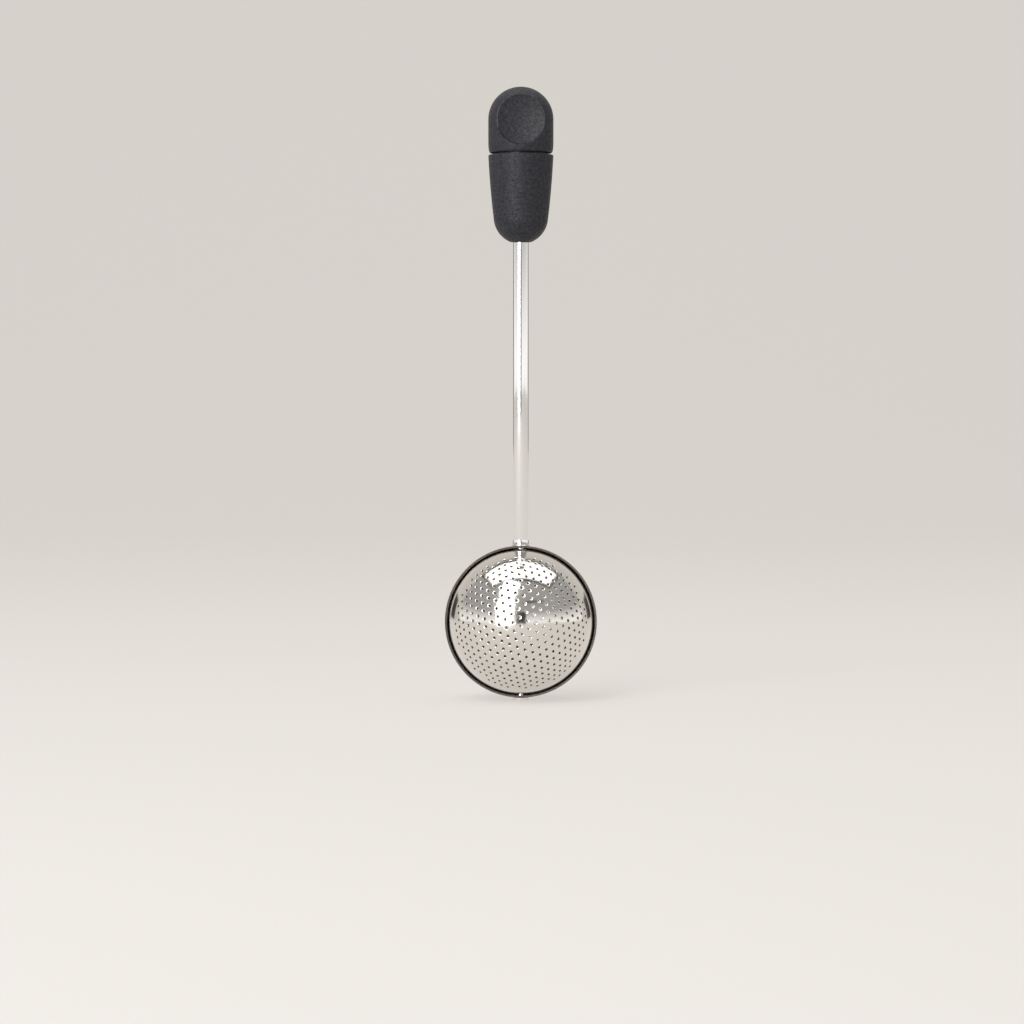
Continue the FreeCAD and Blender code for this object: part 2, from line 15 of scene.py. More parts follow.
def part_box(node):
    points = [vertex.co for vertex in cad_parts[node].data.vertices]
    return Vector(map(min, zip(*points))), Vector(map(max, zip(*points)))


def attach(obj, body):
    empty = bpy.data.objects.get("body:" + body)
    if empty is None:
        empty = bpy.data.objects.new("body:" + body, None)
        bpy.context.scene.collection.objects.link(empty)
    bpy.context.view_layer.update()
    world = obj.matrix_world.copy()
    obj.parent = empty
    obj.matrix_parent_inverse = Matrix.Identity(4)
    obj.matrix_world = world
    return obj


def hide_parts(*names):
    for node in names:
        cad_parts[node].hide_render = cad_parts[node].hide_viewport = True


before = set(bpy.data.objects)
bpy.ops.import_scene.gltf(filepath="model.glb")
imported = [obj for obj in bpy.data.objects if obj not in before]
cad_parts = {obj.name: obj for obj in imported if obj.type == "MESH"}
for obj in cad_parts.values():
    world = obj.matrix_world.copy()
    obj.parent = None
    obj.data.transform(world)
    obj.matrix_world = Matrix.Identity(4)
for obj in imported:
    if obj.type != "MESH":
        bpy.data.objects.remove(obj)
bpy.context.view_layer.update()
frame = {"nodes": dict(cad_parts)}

LOG = logging.getLogger("tea_infuser")
MM = 0.001
AXIS = Vector((0.0, 0.0, 1.0))
MERGE = 0.001 * MM
NOISE_ROUGHNESS = 0.55
# Names of the vertex layers: the dish's crease, rubbed paler partly from wear and partly as a painted
# highlight, centre of a hole, and direction of a hole's lip.
RUB_HIGHLIGHT = "rub_highlight"
HOLE = "hole"
LIP = "lip"
# A Mix node's sockets by number, as its names are not unique.
FACTOR, VALUE_A, VALUE_B, COLOUR_A, COLOUR_B = 0, 2, 3, 6, 7
MIXED_VALUE, MIXED_COLOUR = 0, 2

Point = tuple[float, float]


class Body(Enum):
    """The two bodies of the infuser."""

    FIXED = "handle_and_stem"
    TURNING = "twister"


class Slot(Enum):
    """The material slots of the record."""

    SOFT = "soft_grip"
    CORE = "hard_core"
    SEAL = "seal"
    BEARING = "bearing_plastic"
    STEEL = "polished_steel"


class Facing(Enum):
    """Which way a half shell bulges along Y."""

    FRONT = -1.0
    BACK = 1.0


# Colour and nodes -----------------------------------------------------------------------------


def linear(code: str) -> tuple[float, float, float, float]:
    """Turn an sRGB hex value into linear light.

    Args:
        code: six hex digits, such as "C9C6C0".

    Returns:
        Red, green, blue and an alpha of 1.
    """
    parts = [int(code[i : i + 2], 16) / 255 for i in (0, 2, 4)]
    red, green, blue = (c / 12.92 if c <= 0.04045 else ((c + 0.055) / 1.055) ** 2.4 for c in parts)
    return red, green, blue, 1.0


def add_node(
    tree: bpy.types.NodeTree,
    kind: str,
    settings: dict[str, object] | None = None,
    inputs: dict[str | int, object] | None = None,
) -> bpy.types.Node:
    """Add a node, set its properties, and set or link its inputs.

    Args:
        tree: the node tree to add to.
        kind: the node's type name.
        settings: property values by name.
        inputs: values, or output sockets to link from, by input name or number.

    Returns:
        The new node.
    """
    node = tree.nodes.new(kind)
    for name, value in (settings or {}).items():
        setattr(node, name, value)
    for name, value in (inputs or {}).items():
        if isinstance(value, bpy.types.NodeSocket):
            tree.links.new(value, node.inputs[name])
        else:
            node.inputs[name].default_value = value
    return node


def blank_material(name: str, colour: str) -> tuple[bpy.types.Material, bpy.types.Node]:
    """Make a material with only a Principled shader on it.

    Args:
        name: the material's name.
        colour: the sRGB hex colour, also its plain viewport colour.

    Returns:
        The material and its Principled node.
    """
    material = bpy.data.materials.new(name)
    material.use_nodes = True
    material.diffuse_color = linear(colour)
    tree = material.node_tree
    tree.nodes.clear()
    output = add_node(tree, "ShaderNodeOutputMaterial")
    shader = add_node(tree, "ShaderNodeBsdfPrincipled", inputs={"Base Color": linear(colour)})
    tree.links.new(shader.outputs["BSDF"], output.inputs["Surface"])
    return material, shader


def noise(tree: bpy.types.NodeTree, grain_mm: float, detail: float = 2.0,
          stretch: Sequence[float] = (1.0, 1.0, 1.0)) -> bpy.types.Node:
    """Add a noise whose blobs are a given real size, on Object coordinates.

    Args:
        tree: the node tree to add to.
        grain_mm: the size of one blob in millimetres.
        detail: how many finer layers it has.
        stretch: how much the pattern is squeezed along each axis.

    Returns:
        The noise texture node.
    """
    place = add_node(tree, "ShaderNodeTexCoord").outputs["Object"]
    turned = add_node(tree, "ShaderNodeMapping", inputs={"Vector": place, "Scale": tuple(stretch)})
    return add_node(tree, "ShaderNodeTexNoise", inputs={
        "Vector": turned.outputs["Vector"], "Scale": 1.0 / (grain_mm * MM), "Detail": detail,
        "Roughness": NOISE_ROUGHNESS})


def remap(tree: bpy.types.NodeTree, source: bpy.types.NodeSocket, low: float, high: float,
          from_low: float = 0.3, from_high: float = 0.7) -> bpy.types.NodeSocket:
    """Stretch a factor to a range of values.

    Args:
        tree: the node tree to add to.
        source: the factor's socket.
        low: the value at from_low.
        high: the value at from_high.
        from_low: where the factor's range starts.
        from_high: where the factor's range ends.

    Returns:
        The stretched value's socket.
    """
    node = add_node(tree, "ShaderNodeMapRange", inputs={
        "Value": source, "From Min": from_low, "From Max": from_high, "To Min": low, "To Max": high})
    return node.outputs["Result"]


@dataclass(frozen=True)
class PolishedSteel:
    """Stainless steel 304, drawn or turned, then tumbled bright: a near mirror with faint haze and waves.

    Tumbling scratches are finer than 0.1 mm. They are drawn at 0.25 mm, the finest that shows.
    """

    name: str
    colour: str = "D8D5D0"
    roughness: float = 0.1
    haze: float = 0.05
    haze_mm: float = 3.5
    wave_mm: float = 9.0
    wave_height_mm: float = 0.012
    scratch_mm: float = 0.25
    scratch_stretch: tuple[float, float, float] = (1.0, 1.0, 0.12)
    scratch_height_mm: float = 0.0006

    def material(self) -> bpy.types.Material:
        """Build the material: haze breaks up the roughness, waves and scratches bend the reflections.

        Returns:
            The material.
        """
        material, shader = blank_material(self.name, self.colour)
        tree = material.node_tree
        haze = noise(tree, self.haze_mm, detail=4.0)
        waves = noise(tree, self.wave_mm, detail=1.0)
        scratches = noise(tree, self.scratch_mm, detail=3.0, stretch=self.scratch_stretch)
        wave_bump = add_node(tree, "ShaderNodeBump", inputs={
            "Strength": 1.0, "Distance": self.wave_height_mm * MM, "Height": waves.outputs["Fac"]})
        scratch_bump = add_node(tree, "ShaderNodeBump", inputs={
            "Strength": 1.0, "Distance": self.scratch_height_mm * MM, "Height": scratches.outputs["Fac"],
            "Normal": wave_bump.outputs["Normal"]})
        shader.inputs["Metallic"].default_value = 1.0
        tree.links.new(remap(tree, haze.outputs["Fac"], self.roughness, self.roughness + self.haze),
                       shader.inputs["Roughness"])
        tree.links.new(scratch_bump.outputs["Normal"], shader.inputs["Normal"])
        return material


@dataclass(frozen=True)
class SoftTouch:
    """Thermoplastic elastomer, moulded over the cores: charcoal, dull, with a fine eroded-tool grain.

    The grain of such a mould is about 0.1 mm. It is drawn at 0.5 mm, the finest that shows. The mottle is
    the bloom that handling leaves. Edges marked in the rub layer are rubbed smoother, and paler partly from
    wear and partly as a painted highlight.
    """

    name: str
    dark: str = "161619"
    pale: str = "2F2F35"
    # Paler colour of rubbed edges: partly wear, partly a painted highlight.
    rubbed_highlight: str = "3E3E45"
    roughness: float = 0.44
    roughness_spread: float = 0.14
    rub_polish: float = 0.2
    mottle_mm: float = 0.7
    grain_mm: float = 0.5
    grain_height_mm: float = 0.1
    specular: float = 0.2

    def material(self) -> bpy.types.Material:
        """Build the material: mottle and rubbing mix its colours and roughness, the rubbed edges' paler
        colour partly a painted highlight, and the grain is a bump.

        Returns:
            The material.
        """
        material, shader = blank_material(self.name, self.dark)
        tree = material.node_tree
        mottle = noise(tree, self.mottle_mm, detail=3.0)
        grain = noise(tree, self.grain_mm, detail=2.0)
        factor = remap(tree, mottle.outputs["Fac"], 0.0, 1.0)
        grained = add_node(tree, "ShaderNodeMix", {"data_type": "RGBA"}, {
            FACTOR: factor, COLOUR_A: linear(self.dark), COLOUR_B: linear(self.pale)})
        # Rubbed edges turn paler: partly wear, partly a painted highlight along the dish's crease.
        rub_highlight = add_node(tree, "ShaderNodeAttribute", {"attribute_name": RUB_HIGHLIGHT}).outputs["Fac"]
        colour = add_node(tree, "ShaderNodeMix", {"data_type": "RGBA"}, {
            FACTOR: rub_highlight, COLOUR_A: grained.outputs[MIXED_COLOUR], COLOUR_B: linear(self.rubbed_highlight)})
        polish = add_node(tree, "ShaderNodeMath", {"operation": "MULTIPLY"}, {0: rub_highlight, 1: -self.rub_polish})
        dull = remap(tree, mottle.outputs["Fac"], self.roughness + self.roughness_spread, self.roughness)
        rough = add_node(tree, "ShaderNodeMath", {"operation": "ADD"}, {
            0: dull, 1: polish.outputs["Value"]})
        bump = add_node(tree, "ShaderNodeBump", inputs={
            "Strength": 1.0, "Distance": self.grain_height_mm * MM, "Height": grain.outputs["Fac"]})
        tree.links.new(colour.outputs[MIXED_COLOUR], shader.inputs["Base Color"])
        tree.links.new(rough.outputs["Value"], shader.inputs["Roughness"])
        tree.links.new(bump.outputs["Normal"], shader.inputs["Normal"])
        shader.inputs["Specular IOR Level"].default_value = self.specular
        return material


@dataclass(frozen=True)
class Moulded:
    """A plain injection moulding in polypropylene, acetal or silicone: even, half dull, with faint flow."""

    name: str
    colour: str
    roughness: float
    ior: float
    roughness_spread: float = 0.05
    flow_mm: float = 1.5
    flow_height_mm: float = 0.01

    def material(self) -> bpy.types.Material:
        """Build the material: one colour, with roughness and a shallow bump that follow the flow.

        Returns:
            The material.
        """
        material, shader = blank_material(self.name, self.colour)
        tree = material.node_tree
        flow = noise(tree, self.flow_mm, detail=3.0)
        bump = add_node(tree, "ShaderNodeBump", inputs={
            "Strength": 1.0, "Distance": self.flow_height_mm * MM, "Height": flow.outputs["Fac"]})
        low, high = self.roughness - self.roughness_spread, self.roughness + self.roughness_spread
        tree.links.new(remap(tree, flow.outputs["Fac"], low, high), shader.inputs["Roughness"])
        tree.links.new(bump.outputs["Normal"], shader.inputs["Normal"])
        shader.inputs["IOR"].default_value = self.ior
        return material


@dataclass(frozen=True)
class Finishes:
    """The built materials that the sub-assemblies share."""

    ball_steel: bpy.types.Material
    cut_steel: bpy.types.Material
    stem_steel: bpy.types.Material
    soft: bpy.types.Material
    core: bpy.types.Material
    seal: bpy.types.Material
    bearing: bpy.types.Material

    @classmethod
    def build(cls) -> "Finishes":
        """Make every material once.

        Returns:
            The set of materials.
        """
        return cls(
            ball_steel=PolishedSteel("drawn_stainless_sheet").material(),
            # A sheared edge is torn, so it is duller; its dark colour is painted shade along the rim.
            cut_steel=PolishedSteel("sheared_edge_painted_shade", colour="625E59", roughness=0.3, haze=0.15,
                                    haze_mm=0.8, scratch_height_mm=0.003).material(),
            # A drawn tube is buffed after drawing, so its stripes of light are straight and clean.
            stem_steel=PolishedSteel("polished_stainless_tube", colour="E0DFDE", roughness=0.07, haze=0.008,
                                     wave_height_mm=0.001, wave_mm=14.0,
                                     scratch_height_mm=0.0001).material(),
            soft=SoftTouch("charcoal_elastomer").material(),
            core=Moulded("black_polypropylene", "1B1B1D", 0.45, 1.49).material(),
            seal=Moulded("black_silicone", "161617", 0.6, 1.41).material(),
            bearing=Moulded("natural_acetal", "E3E1DA", 0.35, 1.48).material(),
        )


# Shapes ---------------------------------------------------------------------------------------


def arc(centre: Point, radius: float, start: float, end: float, steps: int) -> list[Point]:
    """Points of a circular arc in the (radius, height) half plane.

    Args:
        centre: the arc's centre.
        radius: its radius.
        start: the angle of the first point in degrees, 0 outwards and 90 up.
        end: the angle of the last point in degrees.
        steps: how many chords it has.

    Returns:
        The points, ends included.
    """
    angles = (math.radians(start + (end - start) * i / steps) for i in range(steps + 1))
    return [(centre[0] + radius * math.cos(a), centre[1] + radius * math.sin(a)) for a in angles]


def spin(outline: Sequence[Point], segments: int, closed: bool = True) -> BMesh:
    """Turn an outline about the stem's axis.

    Args:
        outline: (radius, height) points in metres.
        segments: how many steps the full turn has.
        closed: whether the last point joins the first. An open outline starts and ends on the axis.

    Returns:
        A closed mesh with its faces outwards.
    """
    bm = bmesh.new()
    verts = [bm.verts.new((radius, 0.0, height)) for radius, height in outline]
    pairs = list(zip(verts, verts[1:] + (verts[:1] if closed else [])))
    edges = [bm.edges.new(pair) for pair in pairs]
    bmesh.ops.spin(bm, geom=verts + edges, cent=(0, 0, 0), axis=AXIS, dvec=(0, 0, 0), angle=math.tau,
                   steps=segments, use_merge=True, use_duplicate=False)
    bmesh.ops.remove_doubles(bm, verts=bm.verts, dist=MERGE)
    bmesh.ops.recalc_face_normals(bm, faces=bm.faces)
    return bm


def round_edges(bm: BMesh, width: float, segments: int = 3, angle: float = 40.0,
                edges: Iterable[bmesh.types.BMEdge] | None = None) -> None:
    """Bevel a mesh's sharp edges.

    Args:
        bm: the mesh.
        width: how far the bevel reaches from the edge.
        segments: how many faces it has across.
        angle: edges sharper than this, in degrees, are bevelled.
        edges: only these edges, or all of the sharp ones.
    """
    sharp = [e for e in (bm.edges if edges is None else edges)
             if e.is_manifold and e.calc_face_angle(0.0) > math.radians(angle)]
    bmesh.ops.bevel(bm, geom=sharp, offset=width, offset_type="OFFSET", segments=segments, profile=0.5,
                    affect="EDGES", clamp_overlap=True, material=-1)


def free_to_mesh(bm: BMesh, name: str) -> bpy.types.Mesh:
    """Turn a bmesh into a mesh.

    Args:
        bm: the bmesh. It is freed.
        name: the mesh's name.

    Returns:
        The mesh.
    """
    mesh = bpy.data.meshes.new(name)
    bm.to_mesh(mesh)
    bm.free()
    return mesh


def add_object(name: str, data: bpy.types.ID) -> bpy.types.Object:
    """Make an object and put it in the scene.

    Args:
        name: the object's name.
        data: its mesh, light or camera.

    Returns:
        The object.
    """
    made = bpy.data.objects.new(name, data)
    bpy.context.scene.collection.objects.link(made)
    return made


def publish(bm: BMesh, name: str, material: bpy.types.Material, body: Body,
            nodes: Sequence[str], sharp: float = 35.0) -> bpy.types.Object:
    """Make a finished piece of a mesh, and hand it to its body.

    Args:
        bm: the mesh, in place. It is freed.
        name: the piece's name.
        material: its material.
        body: the body that it rides on.
        nodes: the CAD nodes that it stands for.
        sharp: edges sharper than this, in degrees, stay crisp.

    Returns:
        The new object.
    """
    mesh = free_to_mesh(bm, name)
    mesh.shade_smooth()
    mesh.set_sharp_from_angle(angle=math.radians(sharp))
    mesh.materials.append(material)
    piece = add_object(name, mesh)
    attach(piece, body.value)
    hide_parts(*nodes)
    LOG.info("%s: %d faces, rides on %s", name, len(mesh.polygons), body.value)
    return piece


def dress(node: str, material: bpy.types.Material) -> None:
    """Give a CAD node that stays its material.

    Args:
        node: the CAD node's name.
        material: its material.
    """
    mesh = frame["nodes"][node].data
    mesh.materials.clear()
    mesh.materials.append(material)
    LOG.info("%s: kept from the frame", node)


def soft_min(a: float, b: float, width: float) -> float:
    """The smaller of two values, rounded where they cross over a width."""
    overlap = max(width - abs(a - b), 0.0) / width
    return min(a, b) - overlap * overlap * width / 4


# Handle ---------------------------------------------------------------------------------------


@dataclass
class Knob:
    """The twisting knob: a domed soft cover with a thumb dish pressed in front and back, on a hard core.

    Each dish is a shallow piece of a ball. A round wall, a little lower than the dish, ends it below.
    """

    finishes: Finishes
    pinch_mm: float = 6.55
    dish_radius_mm: float = 6.95
    dish_depth_mm: float = 1.0
    dish_ball_share: float = 0.9
    wall_radius_mm: float = 7.15
    wall_drop_mm: float = 0.35
    wall_slope: float = 6.0
    foot_tuck_mm: float = 0.35
    foot_height_mm: float = 3.0
    foot_round_mm: float = 0.4
    crease_mm: float = 0.3
    rubbed_highlight_mm: float = 0.22
    core_disc_mm: float = 1.0
    dome_steps: int = 60
    side_steps: int = 110
    belt_steps: int = 12
    foot_steps: int = 6
    segments: int = 320
    sharp_angle: float = 75.0

    def __post_init__(self) -> None:
        """Read the knob's place from the frame."""
        low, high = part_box("knob_skin")
        self.foot, self.top = low.z, high.z
        self.radius = (high.x - low.x) / 2
        self.dome = self.top - self.radius

    def outline(self) -> list[Point]:
        """Draw the cover's outline from the crown down the side, under the foot and up to the core's disc.

        Returns:
            The outline's points, the first and the last on the axis.
        """
        tuck, height, rounding = self.foot_tuck_mm * MM, self.foot_height_mm * MM, self.foot_round_mm * MM
        belt_radius = (height**2 + tuck**2) / (2 * tuck)
        belt = (self.radius - belt_radius, self.foot + height)
        belt_end = -math.degrees(math.asin((height - rounding) / belt_radius))
        foot_radius = self.radius - tuck
        core_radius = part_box("grip_core")[1].x - tuck
        disc_top = self.foot + self.core_disc_mm * MM
        drop = (belt[1] - self.dome) / self.side_steps
        return (
            [(0.0, self.top)]
            + arc((0.0, self.dome), self.radius, 90, 0, self.dome_steps)[1:]
            + [(self.radius, self.dome + drop * i) for i in range(1, self.side_steps)]
            + arc(belt, belt_radius, 0, belt_end, self.belt_steps)
            + arc((foot_radius - rounding, self.foot + rounding), rounding, -10, -90, self.foot_steps)
            + [(core_radius, self.foot), (core_radius, disc_top), (0.0, disc_top)]
        )

    def half_thickness(self, across: float, up: float) -> float:
        """How far the dish's surface is from the knob's middle plane.

        Args:
            across: distance from the axis along X.
            up: height.

        Returns:
            The distance along Y, which grows steeply past the dish's wall.
        """
        reach, sink = self.dish_radius_mm * MM, self.dish_depth_mm * MM
        ball = (reach**2 + sink**2) / (2 * sink)
        away = math.hypot(across, up - self.dome)
        # Far from the middle of its ball the dish has no floor, and nothing is pressed in.
        floor = self.radius
        if away < ball * self.dish_ball_share:
            floor = self.pinch_mm * MM - sink + ball - math.sqrt(ball**2 - away**2)
        return floor + self.past_wall(across, up) * self.wall_slope

    def past_wall(self, across: float, up: float) -> float:
        """How far a point is outside the round wall that ends the dish below, or 0 inside it."""
        away = math.hypot(across, up - self.dome + self.wall_drop_mm * MM)
        return max(away - self.wall_radius_mm * MM, 0.0)

    def cover(self) -> None:
        """Spin the soft cover, press its two dishes in, and mark their creases to be rubbed smoother and
        paler, the paler colour partly a painted highlight.
        """
        bm = spin(self.outline(), self.segments, closed=False)
        rub_highlight = bm.verts.layers.float.new(RUB_HIGHLIGHT)
        for vert in bm.verts:
            x, y, z = vert.co
            if z > self.foot + self.foot_round_mm * MM and math.hypot(x, y) > MERGE:
                dish = self.half_thickness(x, z)
                depth = soft_min(abs(y), dish, self.crease_mm * MM)
                vert.co.y = math.copysign(min(depth, abs(y)), y)
                # The crease is marked to be rubbed paler, partly wear and partly a painted highlight.
                if self.past_wall(x, z) == 0:
                    vert[rub_highlight] = max(1 - abs(abs(y) - dish) / (self.rubbed_highlight_mm * MM), 0.0)
        publish(bm, "knob_cover", self.finishes.soft, Body.TURNING, ["knob_skin"],
                sharp=self.sharp_angle)

    def build(self) -> None:
        """Make the cover and dress the core, pin and ring."""
        self.cover()
        dress("knob_core", self.finishes.core)
        dress("knob_pin", self.finishes.stem_steel)
        dress("spigot_o_ring", self.finishes.seal)


@dataclass
class Grip:
    """The fixed grip: a tapering soft sleeve with a round end, on a hard core, with the stem's seal."""

    finishes: Finishes
    end_radius_mm: float = 8.0
    flank_radius_mm: float = 260.0
    edge_mm: float = 0.4
    mouth_edge_mm: float = 0.25
    core_overlap_mm: float = 0.02
    flank_steps: int = 36
    end_steps: int = 32
    edge_steps: int = 6
    segments: int = 160
    sharp_angle: float = 50.0
    seal_edge_mm: float = 0.18
    seal_segments: int = 64

    def __post_init__(self) -> None:
        """Read the grip's place from the frame."""
        low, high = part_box("grip_skin")
        self.foot, self.top = low.z, high.z
        self.core_low, self.core_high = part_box("grip_core")
        self.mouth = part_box("stem_seal")[1].x
        self.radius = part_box("knob_skin")[1].x

    def flank(self) -> tuple[Point, float, Point]:
        """Find the long side arc that touches the round end.

        Returns:
            The side arc's centre, the angle in degrees where it meets the end, and the end's centre.
        """
        end, side = self.end_radius_mm * MM, self.flank_radius_mm * MM
        end_centre = (0.0, self.foot + math.sqrt(end**2 - self.mouth**2))
        # The side arc's centre is its radius from the top corner, and that less the end's radius from
        # the end's centre, so that the two arcs touch.
        corner = Vector((self.radius, self.top))
        centre = Vector(end_centre)
        along = corner - centre
        gap, inner = along.length, side - end
        share = (gap**2 + inner**2 - side**2) / (2 * gap)
        off = math.sqrt(inner**2 - share**2)
        along.normalize()
        middle = centre + along * share + Vector((-along.y, along.x)) * off
        meeting = centre - middle
        return (middle.x, middle.y), math.degrees(math.atan2(meeting.y, meeting.x)), end_centre

    def sleeve(self) -> None:
        """Spin the sleeve: outside from the top down to the mouth, inside up along the core."""
        side_centre, meeting, end_centre = self.flank()
        edge = self.edge_mm * MM
        start = math.degrees(math.atan2(self.top - edge - side_centre[1], self.radius - side_centre[0]))
        side = arc(side_centre, self.flank_radius_mm * MM, start, meeting, self.flank_steps)
        end_angle = math.degrees(math.atan2(self.foot - end_centre[1], self.mouth))
        end = arc(end_centre, self.end_radius_mm * MM, meeting, end_angle, self.end_steps)[1:]
        top_round = arc((side[0][0] - edge, side[0][1]), edge, 90, 0, self.edge_steps)[:-1]
        core_foot = (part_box("tube_collar")[1].x, self.core_low.z)
        core_top = (self.core_high.x - self.core_overlap_mm * MM, self.top)
        inside = [(self.mouth, self.core_low.z), core_foot, core_top]
        bm = spin(top_round + side + end + inside, self.segments)
        mouth = [e for e in bm.edges if all(abs(v.co.z - self.foot) < MERGE for v in e.verts)]
        round_edges(bm, self.mouth_edge_mm * MM, edges=mouth)
        publish(bm, "grip_sleeve", self.finishes.soft, Body.FIXED, ["grip_skin"],
                sharp=self.sharp_angle)

    def seal(self) -> None:
        """Spin the ring that seals the stem where it enters the sleeve."""
        low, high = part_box("stem_seal")
        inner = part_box("stem_tube")[1].x
        outline = [(inner, low.z), (high.x, low.z), (high.x, high.z), (inner, high.z)]
        ring = spin(outline, self.seal_segments)
        round_edges(ring, self.seal_edge_mm * MM)
        publish(ring, "stem_seal_ring", self.finishes.seal, Body.FIXED, ["stem_seal"])

    def build(self) -> None:
        """Make the sleeve and the stem seal, and dress what is inside."""
        self.sleeve()
        self.seal()
        dress("grip_core", self.finishes.core)
        dress("thrust_washer", self.finishes.core)
        dress("tube_collar", self.finishes.stem_steel)


# Stem -----------------------------------------------------------------------------------------


@dataclass
class Stem:
    """The tube with its weld collar at the ball, the rod in it and the bushes between them."""

    finishes: Finishes
    wall_mm: float = 0.6
    end_round_mm: float = 0.12
    rod_round_mm: float = 0.24
    weld_skin_mm: float = 0.01
    weld_steps: int = 10
    segments: int = 72

    def tube(self) -> None:
        """Spin the tube."""
        low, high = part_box("stem_tube")
        outer, inner = high.x, high.x - self.wall_mm * MM
        bm = spin([(outer, low.z), (outer, high.z), (inner, high.z), (inner, low.z)], self.segments)
        round_edges(bm, self.end_round_mm * MM)
        publish(bm, "stem_pipe", self.finishes.stem_steel, Body.FIXED, ["stem_tube"])

    def weld(self) -> None:
        """Spin the weld collar, a smooth hollow fillet between the tube and the ball."""
        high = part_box("weld_collar")[1]
        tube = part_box("stem_tube")[1].x
        ball_low, ball_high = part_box("outer_half")
        ball, middle = (ball_high.x - ball_low.x) / 2, (ball_high.z + ball_low.z) / 2
        reach, rise = high.x, high.z
        foot = middle + math.sqrt(ball**2 - reach**2)
        seat = middle + math.sqrt(ball**2 - tube**2)
        skin = tube + self.weld_skin_mm * MM
        flare = []
        for i in range(self.weld_steps + 1):
            angle = math.radians(90 * i / self.weld_steps)
            flare.append((reach - (reach - skin) * math.sin(angle), rise - (rise - foot) * math.cos(angle)))
        bm = spin(flare + [(tube, rise), (tube, seat)], self.segments)
        publish(bm, "weld_fillet", self.finishes.stem_steel, Body.FIXED, ["weld_collar"])

    def rod(self) -> None:
        """Spin the rod."""
        low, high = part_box("drive_rod")
        outline = [(0.0, low.z), (high.x, low.z), (high.x, high.z), (0.0, high.z)]
        bm = spin(outline, self.segments, closed=False)
        round_edges(bm, self.rod_round_mm * MM)
        publish(bm, "twist_rod", self.finishes.stem_steel, Body.TURNING, ["drive_rod"])

    def build(self) -> None:
        """Make the tube, weld and rod, and dress the bushes."""
        self.tube()
        self.weld()
        self.rod()
        dress("upper_bush", self.finishes.bearing)
        dress("lower_bush", self.finishes.bearing)
        dress("hub_washer", self.finishes.bearing)


# Ball -----------------------------------------------------------------------------------------


